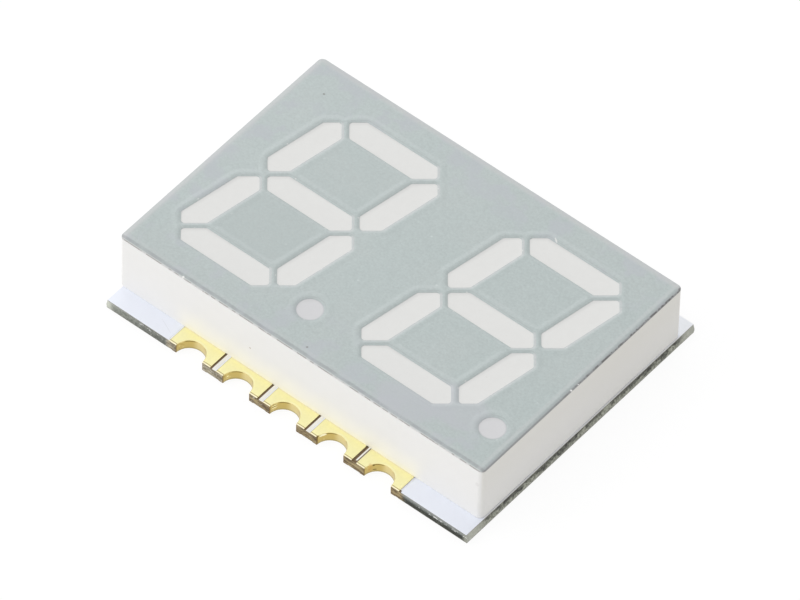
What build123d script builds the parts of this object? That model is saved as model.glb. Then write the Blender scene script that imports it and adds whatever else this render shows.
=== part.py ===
from build123d import *

import os
from math import cos, radians, sin, tan

# Two-digit seven-segment display for surface mounting, in millimetres.
# The origin is under the middle of the housing, on the plane that the solder lands rest on.
# +X runs along the row of digits, +Y runs up the digits and +Z is the way the light leaves.

os.makedirs("parts", exist_ok=True)

# ---------------------------------------------------------------- digits
digit_names = ("left", "right")
digit_width = 6.2  # across one digit, before it is leaned over
digit_height = 10.0
digit_gap = 3.55  # from one digit to the next
digit_slant = 10.0  # degrees that a digit leans to the right
segment_width = 1.2
segment_gap = 0.29  # wall between two segments, square to their slanted ends
point_diameter = 1.18
point_gap = 1.4  # from the digit's right side to the middle of its decimal point
window_corner_radius = 0.16
window_shift_x = -0.07  # the printed windows sit this far left of the middle

# ---------------------------------------------------------------- housing
housing_height = 2.99  # white moulding alone, without the grey face
housing_corner_radius = 0.25
housing_margin_y = 1.54  # from the top of a digit to the housing's wall
face_thickness = 0.05
face_shoulder_width = 0.18  # the face slopes off this far in from its outer edge
face_shoulder_drop = 0.035
side_draft = 4.0  # degrees that a light cavity's long walls lean in towards the board
end_draft = 12.0  # the same for the walls at its ends

# ---------------------------------------------------------------- board
laminate_thickness = 0.43
copper_thickness = 0.035
land_thickness = 0.035
bottom_mask_thickness = 0.025
board_inset_x = 0.015  # the board's end stands back this far under the housing
board_ledge = 0.895  # the board's long side stands out this far from the housing
board_shift_y = -0.1  # the housing was placed this far off the board's middle
score_shift_x = 0.135  # the board's ends were scored and snapped this far off the pattern's middle
score_lean_top = 0.06  # how far the upper score leans in, from the snapped web to the board's top
score_lean_bottom = 0.02
score_depth_bottom = 0.12
score_web = 0.06  # laminate left between the two scores, which was snapped

# ---------------------------------------------------------------- terminals
terminals_per_side = 5
terminal_pitch = 2.54
notch_radius = 0.71  # open half-round, inside the plating
plating_thickness = 0.03
pad_gap = 0.26  # bare board and mask between two pads
pad_depth = 1.6  # from the board's edge to under the housing
land_width = 1.9
land_depth = 1.5
mask_clearance = 0.05  # an opening in the mask is larger than its pad by this much all round
mask_shift_x = 0.05  # the top mask was printed this far off the copper

# ---------------------------------------------------------------- dice and wires
die_side = 0.3
die_height = 0.16
attach_margin = 0.03
attach_thickness = 0.02
die_pad_side = 0.44
bond_pad_length = 0.3
bond_pad_width = 0.34
die_offset = -0.2  # along the segment, from the middle of its cavity
bond_offset = 0.34
wire_diameter = 0.03
wire_rise = 0.12  # above the die
wire_level = 0.2  # level run of the wire, from over the die to where it turns down
wire_foot = 0.1  # length of wire pressed flat on the bond pad

# ---------------------------------------------------------------- levels and overall sizes
laminate_bottom = land_thickness
laminate_top = laminate_bottom + laminate_thickness
board_top = laminate_top + copper_thickness
face_bottom = board_top + housing_height

digit_pitch = digit_width + digit_gap
housing_length = len(digit_names) * digit_pitch
housing_width = digit_height + 2 * housing_margin_y
board_length = housing_length - 2 * board_inset_x
board_width = housing_width + 2 * board_ledge
score_depth_top = laminate_thickness - score_web - score_depth_bottom
pad_width = terminal_pitch - pad_gap
drill_radius = notch_radius + plating_thickness
die_bottom = board_top + attach_thickness
die_top = die_bottom + die_height
node_u = (digit_width - segment_width) / 2
node_v = (digit_height - segment_width) / 2

# A segment ends in a square point, half a gap back from where the segments' middle lines meet.
# Where three segments meet the point is straight ahead. At a digit's corner it leans outwards,
# because the corner is cut off and only two segments share it.
half_gap = segment_gap / 2
middle_pullback = half_gap * 2**0.5
corner_pullback = half_gap / 2**0.5

corner_end = (corner_pullback, corner_pullback)
middle_end = (middle_pullback, 0.0)

# name: (middle, direction along it, direction out of the digit, length, front end, back end)
segments = {
    "a": ((0, node_v), (1, 0), (0, 1), 2 * node_u, corner_end, corner_end),
    "b": ((node_u, node_v / 2), (0, 1), (1, 0), node_v, corner_end, middle_end),
    "c": ((node_u, -node_v / 2), (0, -1), (1, 0), node_v, corner_end, middle_end),
    "d": ((0, -node_v), (1, 0), (0, -1), 2 * node_u, corner_end, corner_end),
    "e": ((-node_u, -node_v / 2), (0, -1), (-1, 0), node_v, corner_end, middle_end),
    "f": ((-node_u, node_v / 2), (0, 1), (-1, 0), node_v, corner_end, middle_end),
    "g": ((0, 0), (1, 0), (0, 1), 2 * node_u, middle_end, middle_end),
}
point_middle = (digit_width / 2 + point_gap, -node_v)


# ---------------------------------------------------------------- shared geometry
def leaned(digit, u, v):
    """A point of an upright digit, leaned over and moved to its place on the face."""
    middle = (digit - (len(digit_names) - 1) / 2) * digit_pitch + window_shift_x
    return (middle + u + v * tan(radians(digit_slant)), v)


def outline(digit, name):
    """The six corners of a segment's window."""
    (mid_u, mid_v), along, out, length, front, back = segments[name]
    half = segment_width / 2
    corners = []
    for sign, (pullback, lean) in ((1, front), (-1, back)):
        tip = length / 2 - pullback
        ends = [(tip - half + lean, half), (tip, lean), (tip - half - lean, -half)]
        corners += [(sign * s, t) for s, t in ends[::sign]]
    return [
        leaned(digit, mid_u + s * along[0] + t * out[0], mid_v + s * along[1] + t * out[1])
        for s, t in corners
    ]


def cavity_middle(digit, name):
    """Where a cavity's middle stands on the board, and the way that the cavity runs, in degrees."""
    if name == "point":
        return leaned(digit, *point_middle), 0
    middle, along = segments[name][:2]
    return leaned(digit, *middle), 90 * abs(along[1])


def cavity_frame(digit, name, level):
    """A plane at a cavity's middle, with its X axis along the cavity."""
    (x, y), turn = cavity_middle(digit, name)
    return Plane((x, y, level), x_dir=(cos(radians(turn)), sin(radians(turn)), 0))


def cavity_section(digit, name):
    """An upright plane along a cavity: X runs along it, and Y is the height above the origin's plane."""
    floor = cavity_frame(digit, name, 0)
    return Plane(floor.origin, x_dir=floor.x_dir, z_dir=-floor.y_dir)


def light_cavity(digit, name):
    """The space inside one light cavity: as large as its window at the face, smaller at the board."""
    with BuildPart() as cavity:
        with BuildSketch(Plane.XY.offset(face_bottom)):
            if name == "point":
                with Locations(leaned(digit, *point_middle)):
                    Circle(point_diameter / 2)
            else:
                Polygon(*outline(digit, name), align=None)
        extrude(amount=-housing_height)
        if name != "point":
            draft(walls(cavity)[-2:], Plane.XY.offset(face_bottom), -side_draft)
            draft(walls(cavity)[:-2], Plane.XY.offset(face_bottom), -end_draft)
    return cavity.part


def walls(cavity):
    """The six walls of a segment's cavity, the two long ones last."""
    return cavity.faces().filter_by(lambda face: abs(face.normal_at().Z) < 0.5).sort_by(SortBy.AREA)


def keep(part, name):
    """Label a finished piece and write it."""
    part.label = name
    export_step(part, f"parts/{name}.step")


light_names = (*segments, "point")
lights = [(digit, name) for digit in range(len(digit_names)) for name in light_names]
cavities = {light: light_cavity(*light) for light in lights}

# ---------------------------------------------------------------- terminals
side_row = [(i - (terminals_per_side - 1) / 2) * terminal_pitch for i in range(terminals_per_side)]
front_edge = board_shift_y - board_width / 2
back_edge = board_shift_y + board_width / 2

# Numbered along the front edge from the left, then along the back edge from the right.
terminal_places = [(x, front_edge, 0) for x in side_row]
terminal_places += [(x, back_edge, 180) for x in reversed(side_row)]

with BuildPart() as terminal:
    with BuildSketch(Plane.XY.offset(laminate_top)):
        Rectangle(pad_width, pad_depth, align=(Align.CENTER, Align.MIN))
        Circle(notch_radius, mode=Mode.SUBTRACT)
    extrude(amount=copper_thickness)
    with BuildSketch(Plane.XY):
        Rectangle(land_width, land_depth, align=(Align.CENTER, Align.MIN))
        Circle(notch_radius, mode=Mode.SUBTRACT)
    extrude(amount=land_thickness)
    with BuildSketch(Plane.XY):
        Circle(drill_radius)
        Circle(notch_radius, mode=Mode.SUBTRACT)
        Rectangle(2 * drill_radius, drill_radius, align=(Align.CENTER, Align.MAX), mode=Mode.SUBTRACT)
    extrude(amount=board_top)

for number, (x, y, turn) in enumerate(terminal_places, start=1):
    keep(terminal.part.moved(Location((x, y, 0), (0, 0, turn))), f"terminal_{number}")


# ---------------------------------------------------------------- board
def board_outline(lean=0):
    """The board's outline, each end shorter by the lean of its score, with the half-round notches."""
    with Locations((score_shift_x, board_shift_y)):
        Rectangle(board_length - 2 * lean, board_width)
    with Locations(*[(x, y) for x, y, turn in terminal_places]):
        Circle(drill_radius, mode=Mode.SUBTRACT)


def edge_openings(width, depth, shift):
    """Openings that run in from the board's edge at each terminal, cut from the sketch."""
    for x, y, turn in terminal_places:
        inwards = Align.MIN if turn == 0 else Align.MAX
        with Locations((x + shift, y)):
            Rectangle(width, depth, align=(Align.CENTER, inwards), mode=Mode.SUBTRACT)


def die_and_bond_pads(growth):
    """The die pad and the bond pad of one cavity, each larger by growth all round."""
    with Locations((die_offset, 0)):
        Rectangle(die_pad_side + 2 * growth, die_pad_side + 2 * growth)
    with Locations((bond_offset, 0)):
        Rectangle(bond_pad_length + 2 * growth, bond_pad_width + 2 * growth)


with BuildPart() as board_laminate:
    with BuildSketch(Plane.XY.offset(laminate_bottom)):
        board_outline()
    extrude(amount=laminate_thickness)
    upper = board_laminate.faces().sort_by(Axis.Z)[-1]
    chamfer(upper.edges().filter_by(Axis.Y), score_lean_top, score_depth_top, reference=upper)
    lower = board_laminate.faces().sort_by(Axis.Z)[0]
    chamfer(lower.edges().filter_by(Axis.Y), score_lean_bottom, score_depth_bottom, reference=lower)
keep(board_laminate.part, "board_laminate")

with BuildPart() as solder_mask_bottom:
    with BuildSketch(Plane.XY.offset(laminate_bottom - bottom_mask_thickness)):
        board_outline(score_lean_bottom)
        edge_openings(land_width + 2 * mask_clearance, land_depth + mask_clearance, 0)
    extrude(amount=bottom_mask_thickness)
keep(solder_mask_bottom.part, "solder_mask_bottom")

with BuildPart() as solder_mask_top:
    with BuildSketch(Plane.XY.offset(laminate_top)):
        board_outline(score_lean_top)
        edge_openings(pad_width + 2 * mask_clearance, pad_depth + mask_clearance, mask_shift_x)
    extrude(amount=copper_thickness)
    for light in lights:
        with BuildSketch(cavity_frame(*light, laminate_top)):
            die_and_bond_pads(mask_clearance)
        extrude(amount=copper_thickness, mode=Mode.SUBTRACT)
keep(solder_mask_top.part, "solder_mask_top")


# ---------------------------------------------------------------- pads, dice and wires of each digit
def bond_wire(digit, name):
    """A wire from the top of a die, over its edge and down to the bond pad."""
    crest = die_top + wire_rise
    foot = board_top + wire_diameter / 2
    with BuildPart() as wire:
        with BuildLine(cavity_section(digit, name)):
            Polyline(
                (die_offset, die_top),
                (die_offset, crest),
                (die_offset + wire_level, crest),
                (bond_offset - wire_foot / 2, foot),
                (bond_offset + wire_foot / 2, foot),
            )
        with BuildSketch(cavity_frame(digit, name, die_top)):
            with Locations((die_offset, 0)):
                RegularPolygon(wire_diameter / 2, 6, major_radius=False, rotation=30)
        sweep(transition=Transition.RIGHT)
    return wire.part


for digit, side in enumerate(digit_names):
    with BuildPart() as copper_pads:
        for name in light_names:
            with BuildSketch(cavity_frame(digit, name, laminate_top)):
                die_and_bond_pads(0)
            extrude(amount=copper_thickness)
    keep(copper_pads.part, f"copper_pads_{side}")

    with BuildPart() as die_attach:
        for name in light_names:
            with BuildSketch(cavity_frame(digit, name, board_top)):
                with Locations((die_offset, 0)):
                    Rectangle(die_side + 2 * attach_margin, die_side + 2 * attach_margin)
            extrude(amount=attach_thickness)
    keep(die_attach.part, f"die_attach_{side}")

    loops = [bond_wire(digit, name) for name in light_names]
    with BuildPart() as bond_wires:
        add(loops)
    keep(bond_wires.part, f"bond_wires_{side}")

    for name in light_names:
        with BuildPart() as led_die:
            with BuildSketch(cavity_frame(digit, name, die_bottom)):
                with Locations((die_offset, 0)):
                    Rectangle(die_side, die_side)
            extrude(amount=die_height)
        keep(led_die.part, f"led_die_{side}_{name}")

        with BuildPart() as light_window:
            add(cavities[digit, name])
            add(die_attach.part, mode=Mode.SUBTRACT)
            add(bond_wires.part, mode=Mode.SUBTRACT)
            add(led_die.part, mode=Mode.SUBTRACT)
        keep(light_window.part, f"light_window_{side}_{name}")

# ---------------------------------------------------------------- housing and face
with BuildPart() as reflector_housing:
    with BuildSketch(Plane.XY.offset(board_top)):
        RectangleRounded(housing_length, housing_width, housing_corner_radius)
    extrude(amount=housing_height)
    for cavity in cavities.values():
        add(cavity, mode=Mode.SUBTRACT)
keep(reflector_housing.part, "reflector_housing")

with BuildPart() as face_layer:
    with BuildSketch(Plane.XY.offset(face_bottom)):
        RectangleRounded(housing_length, housing_width, housing_corner_radius)
    extrude(amount=face_thickness)
    upper = face_layer.faces().sort_by(Axis.Z)[-1]
    chamfer(upper.edges(), face_shoulder_width, face_shoulder_drop, reference=upper)
    with BuildSketch(Plane.XY.offset(face_bottom)) as windows:
        for digit, name in lights:
            if name in segments:
                Polygon(*outline(digit, name), align=None)
        fillet(windows.vertices(), window_corner_radius)
        with Locations(*[leaned(digit, *point_middle) for digit, side in enumerate(digit_names)]):
            Circle(point_diameter / 2)
    extrude(amount=face_thickness, mode=Mode.SUBTRACT)
keep(face_layer.part, "face_layer")
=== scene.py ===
# %% [markdown]
# # A two-digit seven-segment display for surface mounting
#
# The real part is a white moulded housing that stands on a small printed circuit board. Each
# segment is a tapered cavity in the moulding, filled with milky epoxy over one tiny LED die.
# A thin grey film covers the top and leaves only the segments and the two decimal points open,
# so that they stand out when they are dark. Five half-round gold terminals sit on each long
# side of the board.
#
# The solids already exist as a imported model, so this lesson makes only the looks: soft edges,
# resin, moulded plastic, gold plating, and the board's routed and snapped glass-fibre edges.

from math import cos, radians, sin

import bmesh
import bpy
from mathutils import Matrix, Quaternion, Vector
from mathutils.bvhtree import BVHTree


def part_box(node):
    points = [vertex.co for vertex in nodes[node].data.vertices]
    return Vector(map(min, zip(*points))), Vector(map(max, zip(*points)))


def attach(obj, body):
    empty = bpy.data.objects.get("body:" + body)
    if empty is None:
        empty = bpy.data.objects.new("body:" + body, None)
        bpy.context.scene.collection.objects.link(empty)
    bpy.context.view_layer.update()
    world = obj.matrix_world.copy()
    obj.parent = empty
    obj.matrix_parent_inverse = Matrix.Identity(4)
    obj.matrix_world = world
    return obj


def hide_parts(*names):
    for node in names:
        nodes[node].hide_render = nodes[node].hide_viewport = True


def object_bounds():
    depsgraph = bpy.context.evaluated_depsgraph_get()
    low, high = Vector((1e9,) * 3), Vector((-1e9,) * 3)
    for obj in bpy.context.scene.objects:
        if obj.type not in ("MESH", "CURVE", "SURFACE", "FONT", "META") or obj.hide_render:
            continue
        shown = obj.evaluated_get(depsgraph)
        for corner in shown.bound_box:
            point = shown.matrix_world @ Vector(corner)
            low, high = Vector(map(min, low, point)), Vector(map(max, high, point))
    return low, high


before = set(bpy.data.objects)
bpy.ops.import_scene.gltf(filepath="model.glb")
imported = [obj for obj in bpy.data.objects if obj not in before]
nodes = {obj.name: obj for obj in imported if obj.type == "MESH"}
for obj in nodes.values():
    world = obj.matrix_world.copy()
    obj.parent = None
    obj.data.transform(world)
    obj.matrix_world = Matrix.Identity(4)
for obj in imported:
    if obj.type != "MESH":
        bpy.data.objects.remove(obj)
solid_low, solid_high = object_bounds()
print("CAD nodes:", len(nodes), "box:", solid_low, solid_high)

# %% [markdown]
# ## Sizes
#
# Blender counts in metres, and this part is only 20 mm long. A name for the millimetre keeps
# every later size readable. The places of the pieces are measured on the frame itself, so they
# follow when the solids change.

# %% Measure the frame
MM = 0.001
face_low, face_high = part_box("face_layer")
housing_low, housing_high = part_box("reflector_housing")
board_low, board_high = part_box("board_laminate")
mask_low, mask_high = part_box("solder_mask_top")

DIGITS = ("left", "right")
LIGHTS = ("a", "b", "c", "d", "e", "f", "g", "point")
terminal_count = sum(name.startswith("terminal_") for name in nodes)
TERMINALS = [f"terminal_{number}" for number in range(1, terminal_count + 1)]
print("face", face_low / MM, face_high / MM)
print("board", board_low / MM, board_high / MM)
print("terminals:", TERMINALS)


# %% [markdown]
# ## Camera
#
# A long lens from half a metre away shows a small part with hardly any perspective. The camera
# stands in front and to the right, looks down at about fifty degrees and leans a little. An
# aim point, a distance and two angles say that more clearly than a location and three Euler
# angles would, and `to_track_quat` turns them into a rotation.

# %% Place the camera
scene = bpy.context.scene
scene.view_settings.view_transform = "Standard"


def direction(azimuth, elevation):
    """The unit vector from the part towards a place around it, with both angles in degrees."""
    level = cos(radians(elevation))
    return Vector((sin(radians(azimuth)) * level, -cos(radians(azimuth)) * level, sin(radians(elevation))))


AZIMUTH, ELEVATION, LEAN = 38.40, 49.86, 1.71
SENSOR_WIDTH, FOCAL_LENGTH = 36, 513.6
aim = Vector((1.294 * MM, -1.619 * MM, solid_high.z))
distance = 471.2 * MM
towards_camera = direction(AZIMUTH, ELEVATION)
lean = Quaternion((0, 0, 1), radians(LEAN))

camera = bpy.data.objects.new("camera", bpy.data.cameras.new("camera"))
scene.collection.objects.link(camera)
camera.data.sensor_width = SENSOR_WIDTH
camera.data.lens = FOCAL_LENGTH
camera.data.clip_start = 10 * MM
camera.rotation_mode = "QUATERNION"
camera.location = aim + towards_camera * distance
camera.rotation_quaternion = (-towards_camera).to_track_quat("-Z", "Y") @ lean
scene.camera = camera
print("camera at", camera.location)


# %% [markdown]
# ## Studio
#
# The part lies on a pale table inside a white tent. A dim white world fills every side. A large
# lamp to the left and a low one in front give the walls different tones, and one above and
# behind the part brightens the edges that turn away from the viewer. All of them are large next
# to the part, which keeps the shadows soft.
#
# `Light Path` tells the world and the table which ray is asking. To the camera and to shiny
# surfaces they show clean white, and to everything else they stay dim, so that the background
# is white and the part isn't flooded. The table mixes in some plain diffuse white, which keeps
# the shadow under the board. From below it is clear, so that the underside can be seen.

# %% Helpers for shader nodes
def put(tree, value, socket):
    """Give a socket a value, or link it when the value is itself a socket."""
    if isinstance(value, bpy.types.NodeSocket):
        tree.links.new(value, socket)
    elif value is not None:
        socket.default_value = value


def add(tree, kind, inputs=None, **settings):
    """Add a node with its settings, and fill its inputs by name or by number."""
    made = tree.nodes.new(kind)
    for name, value in settings.items():
        setattr(made, name, value)
    for key, value in (inputs or {}).items():
        put(tree, value, made.inputs[key])
    return made


def maths(tree, operation, *values):
    """One Math node."""
    return add(tree, "ShaderNodeMath", dict(enumerate(values)), operation=operation).outputs[0]


def blend_colours(tree, share, first, second):
    """The first colour, with a share of the second mixed in."""
    made = add(tree, "ShaderNodeMix", {0: share, 6: first, 7: second}, data_type="RGBA")
    return made.outputs[2]


def lay(tree, colour, *coats):
    """A colour with coats laid over it in turn, each of them (share, colour)."""
    for share, tint in coats:
        colour = blend_colours(tree, share, colour, tint)
    return colour


def shown_rays(tree):
    """1 for rays from the camera, and for what is seen in gloss or through glass."""
    path = add(tree, "ShaderNodeLightPath")
    seen = maths(tree, "MAXIMUM", path.outputs["Is Camera Ray"], path.outputs["Is Glossy Ray"])
    return maths(tree, "MAXIMUM", seen, path.outputs["Is Transmission Ray"])


# %% White world
AMBIENT = 0.66
world = bpy.data.worlds.new("tent")
scene.world = world
world.use_nodes = True
tree = world.node_tree
tree.nodes.clear()
dim = add(tree, "ShaderNodeBackground", {"Color": (1, 1, 1, 1), "Strength": AMBIENT})
white = add(tree, "ShaderNodeBackground", {"Color": (1, 1, 1, 1), "Strength": 1.0})
mixed = add(tree, "ShaderNodeMixShader", {0: shown_rays(tree), 1: dim.outputs[0], 2: white.outputs[0]})
add(tree, "ShaderNodeOutputWorld", {"Surface": mixed.outputs[0]})
print("world strength", AMBIENT)

# %% Table
TABLE_SIZE, TABLE_GAP = 2.0, 0.002 * MM
PAPER_WHITE = (0.86, 0.86, 0.86, 1)
GLOW_STRENGTH, GLOW_SHARE = 1.05, 0.86
bpy.ops.object.select_all(action="DESELECT")
bpy.ops.mesh.primitive_plane_add(size=TABLE_SIZE, location=(0, 0, solid_low.z - TABLE_GAP))
table = bpy.context.object
table.name = "table"
paper = bpy.data.materials.new("paper")
paper.use_nodes = True
tree = paper.node_tree
tree.nodes.clear()
matt = add(tree, "ShaderNodeBsdfDiffuse", {"Color": PAPER_WHITE})
glow = add(tree, "ShaderNodeEmission", {"Color": (1, 1, 1, 1), "Strength": GLOW_STRENGTH})
see_through = add(tree, "ShaderNodeBsdfTransparent")
whitened = maths(tree, "MULTIPLY", shown_rays(tree), GLOW_SHARE)
mixed = add(tree, "ShaderNodeMixShader", {0: whitened, 1: matt.outputs[0], 2: glow.outputs[0]})
from_below = add(tree, "ShaderNodeNewGeometry").outputs["Backfacing"]
shown = add(tree, "ShaderNodeMixShader", {0: from_below, 1: mixed.outputs[0], 2: see_through.outputs[0]})
add(tree, "ShaderNodeOutputMaterial", {"Surface": shown.outputs[0]})
table.data.materials.append(paper)
print("table at", table.location.z)


# %% Soft lamps
LAMP_DISTANCE, LAMP_SIZE = 0.5, 0.4


def softbox(name, azimuth, elevation, power):
    """A square lamp around the part that faces it."""
    data = bpy.data.lights.new(name, "AREA")
    data.shape = "SQUARE"
    data.size = LAMP_SIZE
    data.energy = power
    lamp = bpy.data.objects.new(name, data)
    scene.collection.objects.link(lamp)
    away = direction(azimuth, elevation)
    lamp.location = aim + away * LAMP_DISTANCE
    lamp.rotation_mode = "QUATERNION"
    lamp.rotation_quaternion = (-away).to_track_quat("-Z", "Y")
    print(name, "at", lamp.location)


softbox("left_lamp", azimuth=-60, elevation=40, power=0.62)
softbox("front_lamp", azimuth=-20, elevation=15, power=0.50)
softbox("back_lamp", azimuth=-135, elevation=50, power=0.41)


# %% [markdown]
# ## Copies of the solids
#
# The solids come from CAD as loose triangles with perfectly sharp edges. A piece whose edges
# should catch the light starts as a copy of such a mesh. The copy is merged, and its flat
# areas are dissolved into single faces, so that its true edges can be found and bevelled. The
# solid itself isn't touched: it is hidden, and the piece stands for it.

# %% Modelling helpers
SAME_PLACE = 0.001 * MM
SMOOTH_ANGLE = radians(32)


def only(piece):
    """Select one piece alone."""
    bpy.ops.object.select_all(action="DESELECT")
    piece.select_set(True)
    bpy.context.view_layer.objects.active = piece


def copy_of(node, name, simplified=True):
    """A new piece with a merged copy of a node's mesh, whose flat areas can become single faces."""
    piece = bpy.data.objects.new(name, nodes[node].data.copy())
    piece.data.name = name
    piece.data.materials.clear()
    scene.collection.objects.link(piece)
    only(piece)
    bpy.ops.mesh.customdata_custom_splitnormals_clear()
    bpy.ops.object.mode_set(mode="EDIT")
    bpy.ops.mesh.select_all(action="SELECT")
    bpy.ops.mesh.remove_doubles(threshold=SAME_PLACE)
    if simplified:
        bpy.ops.mesh.dissolve_limited(angle_limit=radians(1))
    bpy.ops.mesh.select_all(action="DESELECT")
    bpy.ops.object.mode_set(mode="OBJECT")
    return piece


def edit(piece, part, wanted):
    """Go into edit mode with only the wanted corners, edges or faces selected."""
    only(piece)
    bpy.context.tool_settings.mesh_select_mode = (part == "verts", part == "edges", part == "faces")
    bpy.ops.object.mode_set(mode="EDIT")
    bpy.ops.mesh.select_all(action="DESELECT")
    mesh = bmesh.from_edit_mesh(piece.data)
    chosen = [item for item in getattr(mesh, part) if wanted(item)]
    for item in chosen:
        item.select_set(True)
    mesh.select_flush_mode()
    bmesh.update_edit_mesh(piece.data)
    return len(chosen)


def is_sharp(edge, degrees=50):
    """True for an edge between two faces that meet at a clear angle."""
    return len(edge.link_faces) == 2 and edge.calc_face_angle() > radians(degrees)


def is_at(corner, height):
    """True for a corner that lies at one height."""
    return abs(corner.co.z - height) < SAME_PLACE


def is_level(edge, height):
    """True for an edge that lies at one height."""
    return all(is_at(corner, height) for corner in edge.verts)


def soften(piece, wanted, width, segments=3):
    """Bevel the wanted edges."""
    count = edit(piece, "edges", wanted)
    if count:
        bpy.ops.mesh.bevel(
            offset=width, segments=segments, profile=0.5, affect="EDGES", clamp_overlap=True)
    bpy.ops.object.mode_set(mode="OBJECT")
    print(piece.name, "edges softened:", count)


def finish_piece(piece, node, material):
    """Smooth a piece, give it its material and let it stand for its CAD node."""
    only(piece)
    bpy.ops.object.shade_smooth_by_angle(angle=SMOOTH_ANGLE)
    bpy.ops.object.modifier_add(type="WEIGHTED_NORMAL")
    piece.modifiers[-1].keep_sharp = True
    bpy.ops.object.modifier_apply(modifier=piece.modifiers[-1].name)
    piece.data.materials.clear()
    piece.data.materials.append(material)
    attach(piece, "root")
    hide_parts(node)


# %% [markdown]
# ## Effects shared by several finishes
#
# Every real surface here has some grain, a slow drift of colour, a few specks and the odd
# mark. Each of these is a node group, built once, with its sizes in millimetres as inputs. Two
# more groups say how far a place lies from a terminal and from a decimal point, because wear
# and ink gather there.
#
# Object coordinates are used throughout, because the pieces sit at the origin unscaled, so
# that one unit of the pattern is one real length on every piece.

# %% Node group helpers
def new_group(name, inputs, outputs):
    """An empty shader group, with inputs {name: (socket type, value)} and outputs {name: type}."""
    print("group:", name)
    tree = bpy.data.node_groups.new(name, "ShaderNodeTree")
    for label, (kind, value) in inputs.items():
        tree.interface.new_socket(label, in_out="INPUT", socket_type=kind).default_value = value
    for label, kind in outputs.items():
        tree.interface.new_socket(label, in_out="OUTPUT", socket_type=kind)
    return tree, tree.nodes.new("NodeGroupInput").outputs, tree.nodes.new("NodeGroupOutput").inputs


def place_in_mm(tree):
    """The place on the part, in millimetres."""
    place = add(tree, "ShaderNodeTexCoord").outputs["Object"]
    return add(tree, "ShaderNodeMapping", {"Vector": place, "Scale": (1 / MM,) * 3}).outputs[0]


def axes_of(tree, vector):
    """The three parts of a vector."""
    return add(tree, "ShaderNodeSeparateXYZ", {"Vector": vector}).outputs[:]


def facing(tree):
    """The three parts of the surface's own direction."""
    return axes_of(tree, add(tree, "ShaderNodeTexCoord").outputs["Normal"])


def group_node(tree, group, **inputs):
    """Use a group in a material. Inputs are named in lower case."""
    made = add(tree, "ShaderNodeGroup", node_tree=group)
    for key, value in inputs.items():
        put(tree, value, made.inputs[key.replace("_", " ").capitalize()])
    return made


def smooth_step(tree, value, start, end):
    """0 below start and 1 above end, with a soft change between them."""
    made = add(tree, "ShaderNodeMapRange", {0: value, 1: start, 2: end}, interpolation_type="SMOOTHSTEP")
    return made.outputs[0]


def within(tree, value, low, high, soft):
    """1 between low and high, fading to 0 over a soft distance outside them."""
    rises = smooth_step(tree, value, low - soft, low)
    return maths(tree, "MULTIPLY", rises, smooth_step(tree, value, high + soft, high))


def times(tree, *values):
    """The product of several values."""
    product = values[0]
    for value in values[1:]:
        product = maths(tree, "MULTIPLY", product, value)
    return product


def noise(tree, vector, scale, detail=2.0, roughness=0.5):
    """Noise with scale features in a millimetre, from 0 to 1."""
    inputs = {"Vector": vector, "Scale": scale, "Detail": detail, "Roughness": roughness}
    return add(tree, "ShaderNodeTexNoise", inputs).outputs[0]


# %% Grain
FLOAT, COLOUR, VECTOR = "NodeSocketFloat", "NodeSocketColor", "NodeSocketVector"

grain, given, out = new_group(
    "grain", {"Size": (FLOAT, 0.1), "Amount": (FLOAT, 0.03), "Colour": (COLOUR, (1, 1, 1, 1))},
    {"Colour": COLOUR, "Height": FLOAT})
place = place_in_mm(grain)
level = noise(grain, place, maths(grain, "DIVIDE", 1.0, given["Size"]), detail=3.0, roughness=0.6)
tone = maths(grain, "MULTIPLY_ADD", maths(grain, "SUBTRACT", level, 0.5), given["Amount"], 1.0)
scaled = add(grain, "ShaderNodeVectorMath", {0: given["Colour"]}, operation="SCALE")
put(grain, tone, scaled.inputs["Scale"])
put(grain, scaled.outputs[0], out["Colour"])
put(grain, level, out["Height"])

# %% Slow drift between two tints
drift, given, out = new_group(
    "drift", {"Patch": (FLOAT, 3.0), "First": (COLOUR, (1, 1, 1, 1)), "Second": (COLOUR, (0, 0, 0, 1))},
    {"Colour": COLOUR})
place = place_in_mm(drift)
level = noise(drift, place, maths(drift, "DIVIDE", 1.0, given["Patch"]), detail=2.0)
share = smooth_step(drift, level, 0.35, 0.65)
put(drift, blend_colours(drift, share, given["First"], given["Second"]), out["Colour"])

# %% Sparse specks
specks, given, out = new_group(
    "specks", {"Spacing": (FLOAT, 1.0), "Radius": (FLOAT, 0.05), "Share": (FLOAT, 0.3)}, {"Mask": FLOAT})
cells = add(specks, "ShaderNodeTexVoronoi", {"Vector": place_in_mm(specks)})
put(specks, maths(specks, "DIVIDE", 1.0, given["Spacing"]), cells.inputs["Scale"])
away = maths(specks, "MULTIPLY", cells.outputs["Distance"], given["Spacing"])
edge = maths(specks, "MULTIPLY", given["Radius"], 0.4)
near = add(specks, "ShaderNodeMapRange", {0: away, 1: given["Radius"], 2: edge, 3: 0.0, 4: 1.0})
chance = add(specks, "ShaderNodeSeparateColor", {0: cells.outputs["Color"]}).outputs[0]
picked = maths(specks, "LESS_THAN", chance, given["Share"])
put(specks, maths(specks, "MULTIPLY", near.outputs[0], picked), out["Mask"])

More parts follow.
